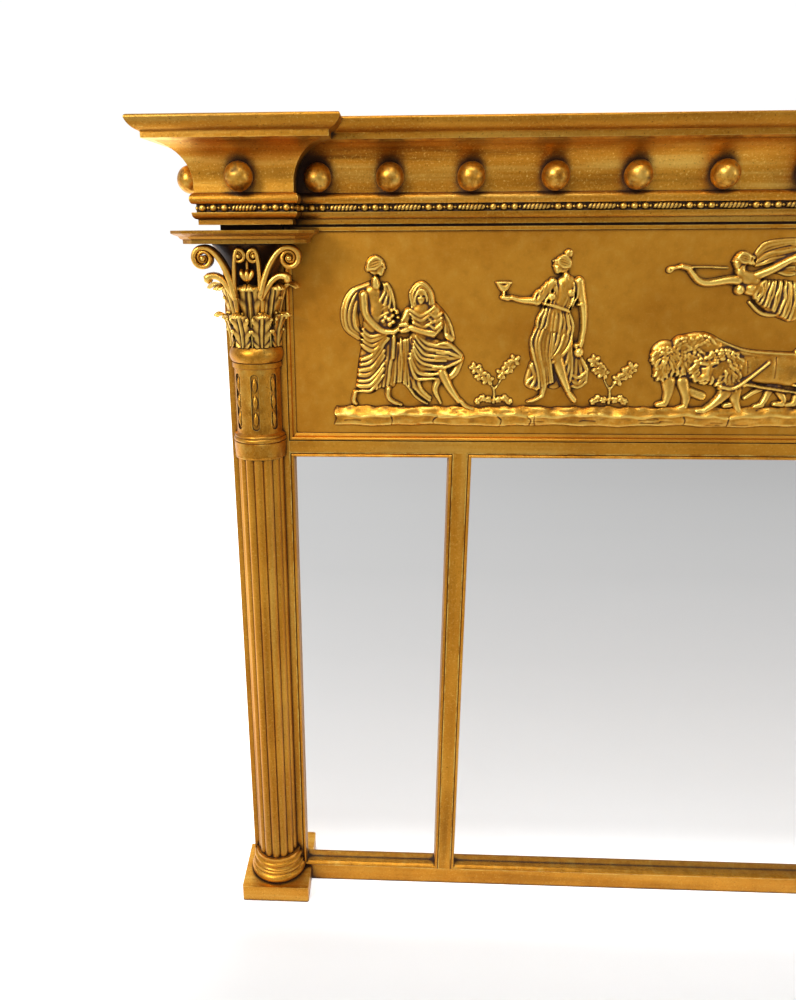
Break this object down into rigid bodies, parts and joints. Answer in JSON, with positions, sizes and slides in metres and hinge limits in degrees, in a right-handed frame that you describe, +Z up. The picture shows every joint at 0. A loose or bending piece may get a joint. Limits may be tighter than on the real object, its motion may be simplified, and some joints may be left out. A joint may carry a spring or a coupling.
{
  "type": "triptych overmantel mirror",
  "caption": "Gilt breakfront overmantel mirror with three plates, half columns, a figure frieze and a ball cornice, hung by two swinging rings.",
  "frame": {"origin": "centre of the bounding box in plan, at the feet of the plinths", "axes": "+X along the mirror to the right as seen from the front, +Y into the wall, +Z up"},
  "size_m": [1.392, 0.1379, 1.012],
  "materials": {
    "gilt_wood": "aged gilding on gesso over carved pine, rubbed bright on the high edges",
    "gilt_composition": "gilded cast composition ornament, brown in the hollows",
    "pine": "planed pine, aged and unfinished",
    "mirror_glass": "silvered plate glass",
    "steel": "plain slotted screws",
    "brass": "dull pressed brass"
  },
  "bodies": {
    "frame": {"bottom_rail": "gilt_wood", "mid_rail": "gilt_wood", "left_stile": "gilt_wood", "right_stile": "gilt_wood", "left_mullion": "gilt_wood", "right_mullion": "gilt_wood", "left_sight_slips": "gilt_wood", "centre_sight_slips": "gilt_wood", "right_sight_slips": "gilt_wood", "frieze_panel": "gilt_wood", "frieze_moulding": "gilt_wood", "bed_moulding": "gilt_wood", "cove_moulding": "gilt_wood", "cap_moulding": "gilt_wood", "left_plinth": "gilt_wood", "right_plinth": "gilt_wood", "left_column_base": "gilt_wood", "right_column_base": "gilt_wood", "left_shaft": "gilt_wood", "right_shaft": "gilt_wood", "left_collar": "gilt_wood", "right_collar": "gilt_wood", "left_neck": "gilt_wood", "right_neck": "gilt_wood", "left_bell": "gilt_wood", "right_bell": "gilt_wood", "left_abacus": "gilt_wood", "right_abacus": "gilt_wood", "cornice_balls": "gilt_wood", "ground_strip": "gilt_composition", "draped_couple": "gilt_composition", "cup_bearer": "gilt_composition", "lion_pair": "gilt_composition", "winged_herald": "gilt_composition", "chariot_rider": "gilt_composition", "attendants": "gilt_composition", "bushes": "gilt_composition", "bead_string": "gilt_composition", "left_leaves": "gilt_composition", "right_leaves": "gilt_composition", "left_volutes": "gilt_composition", "right_volutes": "gilt_composition", "top_rail": "pine", "left_block_core": "pine", "right_block_core": "pine", "top_board": "pine", "left_backboard": "pine", "centre_backboard": "pine", "right_backboard": "pine", "glass_blocks": "pine", "left_mirror_plate": "mirror_glass", "centre_mirror_plate": "mirror_glass", "right_mirror_plate": "mirror_glass", "backboard_screws": "steel", "hanger_screws": "steel", "left_hanger_strap": "brass", "right_hanger_strap": "brass"},
    "left_ring": {"left_hanger_ring": "brass"},
    "right_ring": {"right_hanger_ring": "brass"}
  },
  "joints": [
    {"name": "left_ring_hinge", "type": "hinge", "parent": "frame", "child": "left_ring", "pos_m": [-0.5905, 0.06565, 0.8], "axis": [1, 0, 0], "range_deg": [0, 170]},
    {"name": "right_ring_hinge", "type": "hinge", "parent": "frame", "child": "right_ring", "pos_m": [0.5905, 0.06565, 0.8], "axis": [1, 0, 0], "range_deg": [0, 170]}
  ]
}
